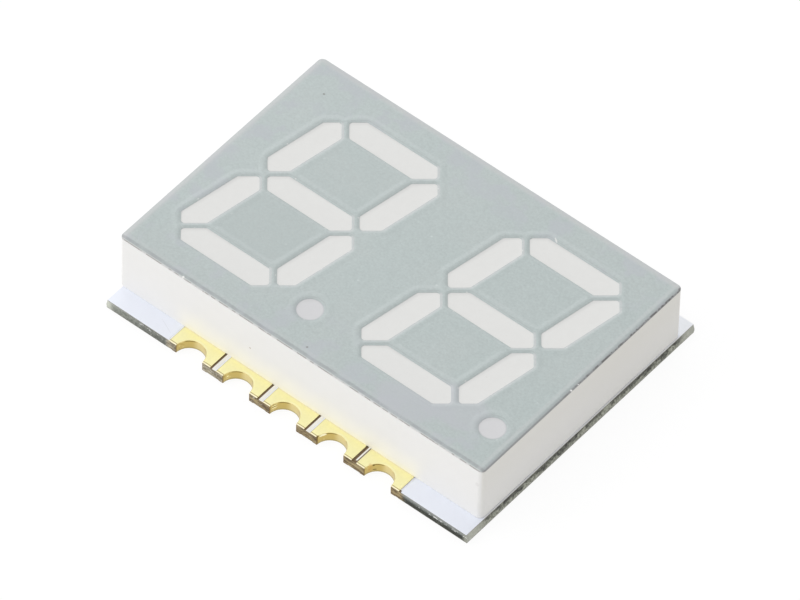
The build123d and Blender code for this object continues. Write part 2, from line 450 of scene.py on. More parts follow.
# %% A single mark at a chosen place
mark, given, out = new_group(
    "mark", {"Centre": (VECTOR, (0, 0, 0)), "Half size": (VECTOR, (1, 1, 1)), "Turn": (FLOAT, 0.0),
             "Ragged": (FLOAT, 0.3)}, {"Mask": FLOAT})
place = place_in_mm(mark)
shifted = add(mark, "ShaderNodeVectorMath", {0: place, 1: given["Centre"]}, operation="SUBTRACT").outputs[0]
turned = add(mark, "ShaderNodeVectorRotate", {"Vector": shifted, "Angle": given["Turn"]},
             rotation_type="Z_AXIS")
unit = add(mark, "ShaderNodeVectorMath", {0: turned.outputs[0], 1: given["Half size"]}, operation="DIVIDE")
length = add(mark, "ShaderNodeVectorMath", {0: unit.outputs[0]}, operation="LENGTH").outputs["Value"]
wobble = maths(mark, "MULTIPLY", maths(mark, "SUBTRACT", noise(mark, place, 14.0), 0.5), given["Ragged"])
put(mark, smooth_step(mark, maths(mark, "ADD", length, wobble), 1.15, 0.75), out["Mask"])

# %% The place next to a terminal
# Across is how far a place lies from the nearest terminal's middle, counted to the right on both
# rows, and Inwards is how far it lies from the board's long side.
pitch = (nodes[TERMINALS[1]].bound_box[0][0] - nodes[TERMINALS[0]].bound_box[0][0]) / MM
first_middle = (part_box(TERMINALS[0])[0].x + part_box(TERMINALS[0])[1].x) / 2
at_middle = [v.co for v in nodes[TERMINALS[0]].data.vertices if abs(v.co.x - first_middle) < 0.1 * MM]
notch_radius = (min(point.y for point in at_middle) - board_low.y) / MM
board_middle = (board_low + board_high) / 2 / MM
board_half = (board_high - board_low) / 2 / MM

beside, given, out = new_group(
    "beside terminal", {"Pitch": (FLOAT, pitch)}, {"Across": FLOAT, "Inwards": FLOAT})
x, y, _ = axes_of(beside, place_in_mm(beside))
half_pitch = maths(beside, "MULTIPLY", given["Pitch"], 0.5)
half_back = maths(beside, "MULTIPLY", half_pitch, -1.0)
put(beside, maths(beside, "WRAP", x, half_pitch, half_back), out["Across"])
from_middle = maths(beside, "ABSOLUTE", maths(beside, "SUBTRACT", y, board_middle.y))
put(beside, maths(beside, "SUBTRACT", board_half.y, from_middle), out["Inwards"])
print("pitch", pitch, "notch radius", notch_radius)

# %% The distance from the nearest decimal point's middle
FAR_AWAY = 99.0
from_point, given, out = new_group("from point", {"Shift": (FLOAT, 0.0)}, {"Away": FLOAT})
x, y, _ = axes_of(from_point, place_in_mm(from_point))
nearest = FAR_AWAY
for digit in DIGITS:
    low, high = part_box(f"light_window_{digit}_point")
    middle = (low + high) / 2 / MM
    off_x = maths(from_point, "SUBTRACT", maths(from_point, "SUBTRACT", x, middle.x), given["Shift"])
    off_y = maths(from_point, "SUBTRACT", y, middle.y)
    squares = maths(from_point, "ADD", times(from_point, off_x, off_x), times(from_point, off_y, off_y))
    nearest = maths(from_point, "MINIMUM", nearest, maths(from_point, "SQRT", squares))
put(from_point, nearest, out["Away"])


# %% Material helpers
def srgb(red, green, blue):
    """The linear colour that Blender mixes, for a colour as it is seen, in steps from 0 to 255."""
    steps = [value / 255 for value in (red, green, blue)]
    return tuple(v / 12.92 if v <= 0.04045 else ((v + 0.055) / 1.055) ** 2.4 for v in steps) + (1.0,)


def new_material(name, **sockets):
    """A material with one Principled shader, whose plain sockets are set by name."""
    material = bpy.data.materials.new(name)
    material.use_nodes = True
    tree = material.node_tree
    shader = tree.nodes["Principled BSDF"]
    for key, value in sockets.items():
        shader.inputs[key.replace("_", " ").title().replace("Ior", "IOR")].default_value = value
    return material, tree, shader


def bump(tree, shader, height, depth):
    """Raise the surface by a height times a depth, which together give metres."""
    made = add(tree, "ShaderNodeBump", {"Strength": 1.0, "Distance": depth, "Height": height})
    put(tree, made.outputs[0], shader.inputs["Normal"])


def add_marks(tree, colour, marks):
    """A colour with marks laid over it, each of them (centre, half size, turn, strength, colour)."""
    for centre, half_size, turn, strength, tint in marks:
        mask = group_node(tree, mark, centre=centre, half_size=half_size, turn=radians(turn), ragged=0.5)
        colour = lay(tree, colour, (times(tree, mask.outputs["Mask"], strength), tint))
    return colour


# %% [markdown]
# ## Grey face
#
# The face is a thin matt grey ink, laid on the moulding and drawn over its rounded edges. Round
# each window it slopes down to the resin. The slopes that face the right and the front are
# painted darker, as painted shade, and those that face the left paler, as a painted highlight.
# Just outside them the ink stands up in a soft lip. Together they outline every segment with a
# dark and a light line.
#
# The windows' rims are made by insetting the whole flat top a few times, so that each window
# gets rings of faces round it. The rings are then lowered along a parabola. The lip is only a
# hundredth of a millimetre high, so it is left to the material, which has to know how far each
# place lies from a window. A mesh can keep such a value in its corners as an attribute, and the
# film is cut into a fine net, which keeps the value true between them.

# %% Face ink
INK_DARK, INK_HIGHLIGHT = srgb(146, 145, 149), srgb(211, 210, 211)
# The dark chipped tone on the broken right edge is partly painted shade.
CHIPPED_INK_SHADE, INK_BROWN = srgb(98, 96, 95), srgb(154, 151, 147)
INK_LILAC, INK_SHADED = srgb(192, 195, 200), srgb(178, 187, 186)
CHIP_WHITE, SOOT = srgb(238, 238, 236), srgb(120, 116, 112)

face_coat, tree, shader = new_material("face_coat", roughness=0.6, specular_ior_level=0.35)
tint = group_node(tree, drift, patch=2.6, first=srgb(185, 195, 194), second=srgb(187, 196, 195))
rough = group_node(tree, grain, size=0.10, amount=0.34, colour=tint.outputs["Colour"])
dots = group_node(tree, specks, spacing=0.9, radius=0.07, share=0.35)
faded = times(tree, dots.outputs["Mask"], 0.35)

# The ink is a little paler towards the left and the back.
place = place_in_mm(tree)
x, y, _ = axes_of(tree, place)
paler = times(tree, maths(tree, "MULTIPLY_ADD", x, -0.005, 0.055), smooth_step(tree, y, -7.5, -2.0))

# How far a place lies from each edge of the film. The inner part leaves out its sloping shoulder.
from_left = maths(tree, "SUBTRACT", x, face_low.x / MM)
from_right = maths(tree, "SUBTRACT", face_high.x / MM, x)
from_front = maths(tree, "SUBTRACT", y, face_low.y / MM)
from_back = maths(tree, "SUBTRACT", face_high.y / MM, y)
side_room = maths(tree, "MINIMUM", from_left, from_right)
end_room = maths(tree, "MINIMUM", from_front, from_back)
inner_part = smooth_step(tree, maths(tree, "MINIMUM", side_room, end_room), 0.3, 0.4)

# Handling has left a faint lilac bloom in patches along the left, front and back.
handled = smooth_step(tree, maths(tree, "MINIMUM", from_left, end_room), 3.0, 0.8)
bloom = times(tree, smooth_step(tree, noise(tree, place, 0.9, detail=3.0), 0.48, 0.62), handled, 0.55)
colour = lay(tree, rough.outputs["Colour"], (faded, srgb(225, 232, 232)),
             (paler, srgb(230, 238, 237)), (bloom, srgb(190, 194, 200)))
print("face ink:", len(tree.nodes), "nodes")

# %% Painted shade and highlight on the slopes round the windows
normal_x, normal_y, normal_z = facing(tree)
uneven = smooth_step(tree, noise(tree, place, 5.0, detail=4.0), 0.3, 0.6)
amount = times(tree, inner_part, maths(tree, "MULTIPLY_ADD", uneven, 0.4, 0.5))

# Painted shade on slopes facing the right and the front is strong where gentle, a quarter as strong where
# steep.
gentle = maths(tree, "MULTIPLY_ADD", smooth_step(tree, normal_z, 0.98, 0.92), -0.75, 1.0)
right_facing_shade = times(tree, smooth_step(tree, normal_x, 0.03, 0.12), 0.06)
front_facing_shade = times(tree, smooth_step(tree, normal_y, -0.03, -0.14), 0.22)
painted_rim_shade = times(tree, maths(tree, "MAXIMUM", right_facing_shade, front_facing_shade), gentle, amount)

# The painted highlight on slopes facing the left leaves out the decimal points. Fine chips are
# rubbed off all rims.
off_points = smooth_step(tree, group_node(tree, from_point).outputs["Away"], 0.8, 0.95)
painted_rim_highlight = times(tree, smooth_step(tree, normal_x, -0.03, -0.12), amount, off_points, 0.5)
rubbed = group_node(tree, specks, spacing=0.3, radius=0.06, share=0.5)
chips = times(tree, rubbed.outputs["Mask"], smooth_step(tree, normal_z, 0.99, 0.96), 0.55)
colour = lay(tree, colour, (painted_rim_shade, INK_DARK), (painted_rim_highlight, INK_HIGHLIGHT), (chips, CHIP_WHITE))
print("with its rims:", len(tree.nodes), "nodes")

# %% Ink on the outer shoulder, with painted highlight and shade
# The shoulder is painted pale on the left and at the back, a painted highlight.
shoulder_highlight = times(tree, smooth_step(tree, maths(tree, "MINIMUM", from_left, from_back), 0.36, 0.12), 0.5)

# At the front a dark line of uneven width lies behind a pale edge, a painted highlight, with a
# fine brown lip.
wander = maths(tree, "MULTIPLY_ADD", noise(tree, place, 0.9), 0.12, -0.06)
front_dark_line = within(tree, maths(tree, "ADD", from_front, wander), 0.10, 0.17, 0.07)
patchy = smooth_step(tree, noise(tree, place, 1.7, detail=3.0), 0.3, 0.6)
front_dark_line = times(tree, front_dark_line, maths(tree, "MULTIPLY_ADD", patchy, 0.25, 0.22))
front_edge_highlight = times(tree, smooth_step(tree, from_front, 0.1, 0.01), 0.8)
torn = smooth_step(tree, noise(tree, place, 3.1, detail=3.0), 0.44, 0.5)
brown_lip = times(tree, smooth_step(tree, from_front, 0.045, 0.02), torn, 0.8)
colour = lay(tree, colour, (shoulder_highlight, INK_HIGHLIGHT), (front_dark_line, INK_DARK), (front_edge_highlight, srgb(217, 217, 216)),
             (brown_lip, INK_BROWN))

# A faint pale line, a painted highlight, marks the crease of the shoulder at the right and the
# front.
right_crease_highlight = times(tree, within(tree, from_right, 0.24, 0.32, 0.08), 0.22)
front_crease_highlight = times(tree, within(tree, from_front, 0.28, 0.34, 0.08), 0.14)
crease_highlight = maths(tree, "MAXIMUM", right_crease_highlight, front_crease_highlight)

# At the right the ink is painted darker towards its edge as painted shade, with a painted shadow
# line at the edge, and has broken off in crumbs towards the back, painted dark as shade.
right_edge_shade = times(tree, smooth_step(tree, from_right, 0.24, 0.0), 0.55)
right_edge_shadow_line = times(tree, smooth_step(tree, from_right, 0.08, 0.03), 0.4)
crumbs = smooth_step(tree, noise(tree, place, 5.5, detail=4.0, roughness=0.7), 0.46, 0.54)
crumbly = times(tree, smooth_step(tree, from_right, 0.10, 0.04), smooth_step(tree, y, -3.0, 2.0))
colour = lay(tree, colour, (crease_highlight, INK_HIGHLIGHT), (right_edge_shade, INK_DARK), (right_edge_shadow_line, srgb(112, 110, 110)),
             (times(tree, crumbly, crumbs, 0.85), CHIPPED_INK_SHADE))
print("with its shoulder:", len(tree.nodes), "nodes")

# %% Chips, soot and faint patches on the face
colour = add_marks(tree, colour, (
    ((-6.31, -6.49, 3.53), (0.06, 0.06, 0.2), 0, 1.0, CHIP_WHITE),
    ((9.72, -0.76, 3.53), (0.05, 0.05, 0.2), 0, 1.0, CHIP_WHITE),
    ((9.73, -0.32, 3.53), (0.03, 0.035, 0.2), 0, 0.8, CHIP_WHITE),
    ((9.72, 6.40, 3.50), (0.10, 0.12, 0.2), 0, 0.6, CHIPPED_INK_SHADE),
    ((4.13, 5.10, 3.53), (0.14, 0.035, 0.2), 35, 0.7, CHIP_WHITE),
    ((-8.34, 4.99, 3.53), (0.06, 0.05, 0.2), 0, 0.6, SOOT),
    ((0.01, -6.06, 3.53), (0.05, 0.05, 0.2), 0, 0.6, SOOT),
    ((4.90, -5.70, 3.53), (1.5, 0.8, 1.0), 0, 0.65, INK_LILAC),
    ((6.60, -4.50, 3.53), (1.7, 1.1, 1.0), 0, 0.55, INK_LILAC),
    ((-5.33, -2.20, 3.53), (2.4, 2.0, 1.0), 0, 0.33, INK_SHADED),
    ((-4.56, 2.20, 3.53), (2.4, 2.0, 1.0), 0, 0.16, INK_SHADED)))
print("with its marks:", len(tree.nodes), "nodes")

# %% The soft lip of ink round each window
# The lip is highest a fifth of a millimetre from the window. Its outer slope faces away from the
# window and its inner one towards it. It is painted pale where it faces the left or the back, a
# painted highlight, and less so round the points.
LIP_HEIGHT, GRAIN_HEIGHT = 0.014 * MM, 0.005 * MM
LIP_START, LIP_TOP, LIP_END = 0.02, 0.20, 0.45
from_window = add(tree, "ShaderNodeAttribute", attribute_name="from_window").outputs["Fac"]
away = add(tree, "ShaderNodeAttribute", attribute_name="away_from_window").outputs["Vector"]
away_x, away_y, _ = axes_of(tree, away)
outer_slope = within(tree, from_window, 0.24, 0.31, 0.09)
inner_slope = within(tree, from_window, 0.08, 0.15, 0.06)
slope = maths(tree, "SUBTRACT", outer_slope, inner_slope)
to_back_left = maths(tree, "SUBTRACT", away_y, away_x)
less_at_points = maths(tree, "MULTIPLY_ADD", off_points, 0.6, 0.4)
turned = times(tree, slope, to_back_left, inner_part, less_at_points)
lip_highlight = times(tree, maths(tree, "MINIMUM", maths(tree, "MAXIMUM", turned, 0.0), 1.0), 0.12)
put(tree, lay(tree, colour, (lip_highlight, srgb(230, 236, 237))), shader.inputs["Base Color"])

rises = smooth_step(tree, from_window, LIP_START, LIP_TOP)
raised = times(tree, rises, smooth_step(tree, from_window, LIP_END, LIP_TOP), inner_part, LIP_HEIGHT)
height = maths(tree, "MULTIPLY_ADD", rough.outputs["Height"], GRAIN_HEIGHT, raised)
bump(tree, shader, height, 1.0)
print("whole face finish:", len(tree.nodes), "nodes")

# %% Helpers for the face piece
INNER_MARGIN = 0.1 * MM


def rings_round_windows(piece, height, count):
    """The corners on the windows' rims at one height, by number, and then each ring around them."""
    mesh = bmesh.new()
    mesh.from_mesh(piece.data)
    level = {corner for corner in mesh.verts if is_at(corner, height)}
    ring = {corner for corner in level if any(abs(face.normal.z) < 0.1 for face in corner.link_faces)}
    rings, seen = [], set()
    for _ in range(count):
        rings.append({corner.index for corner in ring})
        seen |= ring
        ring = {edge.other_vert(corner) for corner in ring for edge in corner.link_edges} & level - seen
    mesh.free()
    return rings


def is_window_wall(side):
    """True for a face of the film that stands upright in a window."""
    middle = side.calc_center_median()
    inside_x = abs(middle.x) < face_high.x - INNER_MARGIN
    inside_y = abs(middle.y) < face_high.y - INNER_MARGIN
    return inside_x and inside_y and abs(side.normal.z) < 0.1


def is_shoulder(edge):
    """True for the faint crease where the film starts to slope towards its outer edge."""
    return is_level(edge, face_high.z) and is_sharp(edge, 5) and not is_sharp(edge, 45)


def cut_strips(piece, along, low, high, width):
    """Cut a piece across one axis into strips of one width."""
    only(piece)
    bpy.ops.object.mode_set(mode="EDIT")
    for number in range(1, int((high - low) / width) + 1):
        bpy.ops.mesh.select_all(action="SELECT")
        bpy.ops.mesh.bisect(plane_co=along * (low + number * width), plane_no=along, threshold=1e-7)
    bpy.ops.object.mode_set(mode="OBJECT")


def keep_distance(piece, wanted):
    """Keep in every corner how far it is from the nearest window, in millimetres, and which way."""
    mesh = bmesh.new()
    mesh.from_mesh(piece.data)
    places, outlines = [], []
    for side in mesh.faces:
        if wanted(side):
            outlines.append(list(range(len(places), len(places) + len(side.verts))))
            places += [corner.co.copy() for corner in side.verts]
    mesh.free()
    walls = BVHTree.FromPolygons(places, outlines)
    far = piece.data.attributes.new("from_window", "FLOAT", "POINT").data
    way = piece.data.attributes.new("away_from_window", "FLOAT_VECTOR", "POINT").data
    for corner, far_kept, way_kept in zip(piece.data.vertices, far, way):
        nearest, _, _, gap = walls.find_nearest(corner.co)
        far_kept.value = gap / MM
        way_kept.vector = (corner.co - nearest).normalized()


# %% Face piece
SHOULDER_WIDTH = 0.05 * MM
RIM_STEP, RIM_STEPS, RIM_DROP = 0.04 * MM, 3, 0.035 * MM
NET = 0.25 * MM

face = copy_of("face_layer", "grey_face", simplified=False)
soften(face, is_shoulder, SHOULDER_WIDTH, segments=2)
edit(face, "faces", lambda side: not is_window_wall(side))
for _ in range(RIM_STEPS):
    bpy.ops.mesh.inset(thickness=RIM_STEP, depth=0)
bpy.ops.object.mode_set(mode="OBJECT")
for step, ring in enumerate(rings_round_windows(face, face_high.z, RIM_STEPS)):
    edit(face, "verts", lambda corner: corner.index in ring)
    bpy.ops.transform.translate(value=(0, 0, -RIM_DROP * (1 - step / RIM_STEPS) ** 2))
    bpy.ops.object.mode_set(mode="OBJECT")
cut_strips(face, Vector((1, 0, 0)), face_low.x, face_high.x, NET)
cut_strips(face, Vector((0, 1, 0)), face_low.y, face_high.y, NET)
keep_distance(face, is_window_wall)
finish_piece(face, "face_layer", face_coat)
print("face corners:", len(face.data.vertices))

# %% [markdown]
# ## Resin windows
#
# The epoxy is poured into the cavities from the back while the face lies on a tape, so it ends
# almost level with the ink. It shrinks a little as it cures, and its surface dips between the
# walls of its cavity.

# %% Resin material
def make_resin(name, tint):
    """Milky epoxy with a few fine specks, and painted shade on its slopes that face the right and the
    front.
    """
    material, tree, shader = new_material(name, roughness=0.42)
    rough = group_node(tree, grain, size=0.3, amount=0.05, colour=tint)
    dots = group_node(tree, specks, spacing=1.1, radius=0.05, share=0.3)
    faded = times(tree, dots.outputs["Mask"], 0.15)
    normal_x, normal_y, _ = facing(tree)
    slope = maths(tree, "SUBTRACT", times(tree, normal_x, 0.8), times(tree, normal_y, 0.6))
    rim_shade = times(tree, smooth_step(tree, slope, 0.01, 0.05), 0.4)
    colour = lay(tree, rough.outputs["Colour"], (faded, srgb(190, 186, 180)), (rim_shade, srgb(196, 196, 196)))
    put(tree, colour, shader.inputs["Base Color"])
    bump(tree, shader, rough.outputs["Height"], 0.003 * MM)
    print(name, "nodes:", len(tree.nodes))
    return material


resin = make_resin("resin", srgb(227, 227, 225))
point_resin = make_resin("point_resin", srgb(212, 212, 214))

# A grey ring is laid round the rim of each decimal point, a touch wider on its right.
RING_SHIFT, RING_OUTER, RING_INNER = -0.02, 0.61, 0.51
tree = point_resin.node_tree
shader = tree.nodes["Principled BSDF"]
ring = group_node(tree, from_point, shift=RING_SHIFT)
open_area = smooth_step(tree, ring.outputs["Away"], RING_OUTER, RING_INNER)
bare_resin = shader.inputs["Base Color"].links[0].from_socket
put(tree, blend_colours(tree, open_area, srgb(192, 195, 197), bare_resin), shader.inputs["Base Color"])

# %% Resin pieces
# Each step of the dip is an inset and how far its inner part goes down, in millimetres.
DIPS = ((0.07, 0.004), (0.12, 0.003), (0.16, 0.002))

for digit in DIGITS:
    for light in LIGHTS:
        window = copy_of(f"light_window_{digit}_{light}", f"resin_{digit}_{light}")
        edit(window, "faces", lambda f: f.normal.z > 0.9 and is_at(f.verts[0], face_low.z))
        for inset, dip in DIPS:
            bpy.ops.mesh.inset(thickness=inset * MM, depth=0)
            bpy.ops.transform.translate(value=(0, 0, -dip * MM))
        bpy.ops.object.mode_set(mode="OBJECT")
        finish_piece(window, f"light_window_{digit}_{light}",
                     point_resin if light == "point" else resin)
print("resin pieces:", len(DIGITS) * len(LIGHTS))

# %% [markdown]
# ## White housing
#
# The moulding is white plastic with a soft sheen and fine flow marks. Above the terminals the
# gold throws a warm light on the foot of its long walls, so the material carries a warm tint
# there that fades upwards, a painted reflection. The right wall is painted a little darker and
# warmer, as painted shade. A thin painted shadow lies in the gap under it and another one under
# the ink that laps over its top.

# %% Housing material
board_top, mask_top, wall_top = board_high.z / MM, mask_high.z / MM, housing_high.z / MM
wall_right, wall_back = housing_high.x / MM, housing_high.y / MM

plastic, tree, shader = new_material("white_plastic", roughness=0.45)
rough = group_node(tree, grain, size=0.5, amount=0.03, colour=srgb(243, 242, 240))
x, y, z = axes_of(tree, place_in_mm(tree))
foot = smooth_step(tree, z, board_top + 1.55, board_top + 0.50)
deepest = smooth_step(tree, z, board_top + 0.45, board_top + 0.10)
over_pads = smooth_step(tree, maths(tree, "ABSOLUTE", x), 6.9, 6.0)
long_wall = smooth_step(tree, maths(tree, "ABSOLUTE", y), wall_back - 0.05, wall_back - 0.02)
warm = times(tree, foot, over_pads, long_wall, 0.6)
gold_light = blend_colours(tree, deepest, srgb(255, 252, 243), srgb(254, 249, 232))

# The right wall is painted darker and warmer as painted shade, more towards its top and its back.
right_wall = smooth_step(tree, x, wall_right - 0.1, wall_right - 0.05)
upwards = maths(tree, "MULTIPLY_ADD", smooth_step(tree, z, 1.0, 3.2), 0.55, 0.2)
backwards = times(tree, smooth_step(tree, y, -1.0, 3.0), 0.2)
right_wall_shade = times(tree, right_wall, maths(tree, "ADD", upwards, backwards))

# The gap under it is wider, and so darker, along two stretches.
gap = smooth_step(tree, z, mask_top + 0.04, mask_top + 0.01)
wide_gap = maths(tree, "MAXIMUM", within(tree, y, -5.8, -3.4, 0.8), within(tree, y, 0.3, 3.3, 0.8))
gap = times(tree, right_wall, gap, maths(tree, "MULTIPLY_ADD", wide_gap, 0.65, 0.2))
ink_lip_shadow = smooth_step(tree, z, wall_top - 0.06, wall_top - 0.02)
ink_lip_shadow = times(tree, ink_lip_shadow, maths(tree, "MULTIPLY_ADD", right_wall, 0.5, 0.12))
colour = lay(tree, rough.outputs["Colour"], (warm, gold_light), (right_wall_shade, srgb(237, 235, 228)),
             (gap, srgb(140, 138, 134)), (ink_lip_shadow, srgb(150, 148, 145)))
colour = add_marks(tree, colour, (
    ((-2.63, -6.54, 1.86), (0.05, 0.1, 0.04), 0, 0.55, srgb(150, 120, 90)),
    ((9.50, -6.54, 2.62), (0.10, 0.1, 0.12), 0, 0.14, srgb(170, 165, 160))))
put(tree, colour, shader.inputs["Base Color"])
bump(tree, shader, rough.outputs["Height"], 0.004 * MM)
print("housing finish:", len(tree.nodes), "nodes")

# %% Housing piece
RIM_RADIUS = 0.02 * MM


def is_outside(edge):
    """True for an edge on the housing's outer walls."""
    middle = (edge.verts[0].co + edge.verts[1].co) / 2
    inset = min(housing_high.x - abs(middle.x), housing_high.y - abs(middle.y))
    return inset < 0.1 * MM


def is_rim(edge):
    """True for an edge round the top or the foot of the housing."""
    at_end = is_level(edge, housing_high.z) or is_level(edge, housing_low.z)
    return at_end and is_sharp(edge) and is_outside(edge)


housing = copy_of("reflector_housing", "white_housing")
soften(housing, is_rim, RIM_RADIUS)
finish_piece(housing, "reflector_housing", plastic)

# %% [markdown]
# ## Board
#
# The board is brown-green glass fibre. Its long sides are routed and show the fibres as streaks.
# Its ends were scored and snapped, which leaves a pale, blotchy edge. A white solder mask covers
# it, and bare strips beside the pads show the brown laminate.

# %% Laminate between the notches
# It is greyer to the left and browner to the right, with cut strands as flecks.
MASK_WHITE, BARE_LAMINATE = srgb(240, 244, 254), srgb(112, 90, 60)

laminate, tree, shader = new_material("glass_fibre", roughness=0.6)
place = place_in_mm(tree)
x, y, z = axes_of(tree, place)
normal_x, normal_y, normal_z = facing(tree)
streaks = add(tree, "ShaderNodeMapping", {"Vector": place, "Scale": (1.0, 1.0, 5.0)}).outputs[0]
fibre = noise(tree, streaks, 2.2, detail=5.0, roughness=0.65)
fine = noise(tree, place, 8.0, detail=4.0, roughness=0.7)
strands = smooth_step(tree, fibre, 0.38, 0.66)

grey_beige = blend_colours(tree, strands, srgb(118, 108, 88), srgb(196, 186, 160))
brown = blend_colours(tree, strands, srgb(90, 69, 37), srgb(177, 158, 115))
flecks = times(tree, smooth_step(tree, fine, 0.54, 0.64), smooth_step(tree, x, 2.5, -1.5), 0.5)
colour = lay(tree, grey_beige, (smooth_step(tree, x, -3.2, -1.4), brown), (flecks, srgb(222, 218, 202)))
print("laminate:", len(tree.nodes), "nodes")

# %% Laminate beyond the notches
# To the left of the first notch it pales towards the corner, a painted glow of light through the
# edge, with dark and light mottling.
low = smooth_step(tree, z, board_high.z / MM, board_low.z / MM)
left_end = lay(
    tree, srgb(160, 164, 155),
    (smooth_step(tree, x, -9.2, -6.6), srgb(122, 124, 117)),
    (times(tree, low, 0.42), srgb(62, 65, 58)),
    (times(tree, smooth_step(tree, fine, 0.52, 0.38), 0.5), srgb(76, 80, 72)),
    (times(tree, smooth_step(tree, fine, 0.54, 0.66), 0.42), srgb(200, 204, 194)),
    (times(tree, smooth_step(tree, x, -9.1, -9.55), 0.8), srgb(222, 225, 212)))

# To the right of the last notch it is nearly black along its lower half, and painted paler at the
# corner as a painted highlight.
right_end = lay(
    tree, srgb(27, 32, 19),
    (smooth_step(tree, z, 0.20, 0.46), srgb(148, 153, 150)),
    (times(tree, smooth_step(tree, fine, 0.5, 0.75), 0.45), srgb(132, 137, 122)),
    (smooth_step(tree, x, 9.55, 9.8), srgb(160, 162, 150)))
colour = lay(tree, colour, (smooth_step(tree, x, -6.2, -6.42), left_end),
             (smooth_step(tree, x, 6.25, 6.6), right_end))
print("with the ends of its long sides:", len(tree.nodes), "nodes")

# %% Laminate on the snapped ends and the flat sides
# The snapped ends are pale and granular, with dark stretches along their upper half, and painted
# paler towards the corners as a painted highlight.
granular = smooth_step(tree, fine, 0.40, 0.60)
snapped = blend_colours(tree, granular, srgb(118, 120, 106), srgb(190, 192, 178))
bruised = blend_colours(tree, granular, srgb(38, 38, 33), srgb(112, 114, 104))
rise = maths(tree, "MULTIPLY_ADD", z, 0.9, -0.225)
stretch = maths(tree, "ADD", noise(tree, place, 1.4), rise)
corner_highlight = times(tree, smooth_step(tree, maths(tree, "ABSOLUTE", y), 6.0, 7.0), 0.8)
snapped = lay(tree, snapped, (smooth_step(tree, stretch, 0.44, 0.60), bruised),
              (corner_highlight, srgb(202, 204, 192)))
to_side = smooth_step(tree, maths(tree, "ABSOLUTE", normal_x), 0.5, 0.8)
upwards = smooth_step(tree, normal_z, 0.5, 0.9)
colour = lay(tree, colour, (to_side, snapped), (upwards, BARE_LAMINATE))
print("with its snapped ends:", len(tree.nodes), "nodes")

# %% Glints and ink on the laminate
# Bright strand ends glint in a row along the front, to the left and right of the notches, painted
# as white dashes, a painted highlight.
dashes = add(tree, "ShaderNodeMapping", {"Vector": place, "Scale": (1.0, 1.0, 2.5)}).outputs[0]
glint = smooth_step(tree, noise(tree, dashes, 7.5, detail=1.0), 0.575, 0.61)
left_row = times(tree, within(tree, z, 0.31, 0.38, 0.02), within(tree, x, -7.9, -7.0, 0.5), 0.85)
right_row = times(tree, within(tree, z, 0.28, 0.35, 0.02), smooth_step(tree, x, 6.8, 7.0))
either_row = maths(tree, "MAXIMUM", left_row, right_row)
row = times(tree, either_row, smooth_step(tree, normal_y, -0.5, -0.8))

# To the right of the last pad the white ink has crept onto the bare strip.
by_terminal = group_node(tree, beside)
off_edge = smooth_step(tree, by_terminal.outputs["Inwards"], 0.10, 0.14)
inked = times(tree, smooth_step(tree, x, 6.20, 6.22), off_edge, upwards)
colour = lay(tree, colour, (times(tree, glint, row), srgb(250, 250, 248)), (inked, MASK_WHITE))
put(tree, colour, shader.inputs["Base Color"])
bump(tree, shader, fibre, 0.02 * MM)
print("whole laminate finish:", len(tree.nodes), "nodes")

board = copy_of("board_laminate", "fibre_board")
finish_piece(board, "board_laminate", laminate)

# %% Solder mask material
mask_ink, tree, shader = new_material("mask_ink", roughness=0.35)
rough = group_node(tree, grain, size=0.6, amount=0.02, colour=MASK_WHITE)
x, y, z = axes_of(tree, place_in_mm(tree))
_, _, normal_z = facing(tree)
by_terminal = group_node(tree, beside)
cut_edge = times(tree, smooth_step(tree, maths(tree, "ABSOLUTE", normal_z), 0.8, 0.5), 0.85)

# The stripe between the last two pads was scraped to a sliver, so bare laminate shows beside it.
# The other stripes are a warmer white than the rest of the mask.
LAST_GAP, GAP_HALF = 1.5 * pitch, 0.12
SLIVER_START, SLIVER_END = LAST_GAP + 0.01, LAST_GAP + 0.07
front_wall = housing_low.y / MM
in_gap = within(tree, x, LAST_GAP - GAP_HALF, LAST_GAP + GAP_HALF, 0.01)
in_front = smooth_step(tree, y, front_wall, front_wall - 0.01)
off_edge = smooth_step(tree, by_terminal.outputs["Inwards"], 0.08, 0.16)
sliver = times(tree, within(tree, x, SLIVER_START, SLIVER_END, 0.012), off_edge)
on_top = smooth_step(tree, z, mask_low.z / MM - 0.1, mask_low.z / MM - 0.05)
bare = times(tree, in_gap, in_front, on_top, maths(tree, "SUBTRACT", 1.0, sliver))
last_stripe = 2.5 * pitch
between_pads = smooth_step(tree, maths(tree, "ABSOLUTE", x), last_stripe - 0.1, last_stripe - 0.2)
colour = lay(tree, rough.outputs["Colour"], (cut_edge, srgb(120, 112, 94)),
             (between_pads, srgb(244, 242, 237)), (bare, BARE_LAMINATE))
colour = add_marks(tree, colour, (
    ((-6.77, -7.01, 0.5), (0.5, 0.012, 0.1), 25, 0.25, srgb(180, 180, 190)),))

# It is painted brightest along the back edge, as painted light, and greyer on the strip beside the
# right wall, as painted shade.
back_edge_light = times(tree, smooth_step(tree, y, 6.4, 6.6), smooth_step(tree, normal_z, 0.5, 0.9))
wall_foot_shade = smooth_step(tree, x, wall_right - 0.02, wall_right + 0.01)
off_corners = smooth_step(tree, maths(tree, "ABSOLUTE", y), 6.5, 6.2)
colour = lay(tree, colour, (back_edge_light, srgb(247, 250, 255)),
             (times(tree, wall_foot_shade, off_corners, 0.5), srgb(226, 224, 218)))
put(tree, colour, shader.inputs["Base Color"])
bump(tree, shader, rough.outputs["Height"], 0.004 * MM)
print("mask finish:", len(tree.nodes), "nodes")

# %% Solder mask pieces
MASK_RADIUS = 0.006 * MM


def is_mask_rim(edge):
    """True for a sharp edge at the top of the upper mask."""
    return is_sharp(edge) and edge.verts[0].co.z > mask_high.z - 2 * SAME_PLACE


for node, name in (("solder_mask_top", "mask_upper"), ("solder_mask_bottom", "mask_lower")):
    mask = copy_of(node, name)
    soften(mask, is_mask_rim, MASK_RADIUS, segments=2)
    finish_piece(mask, node, mask_ink)
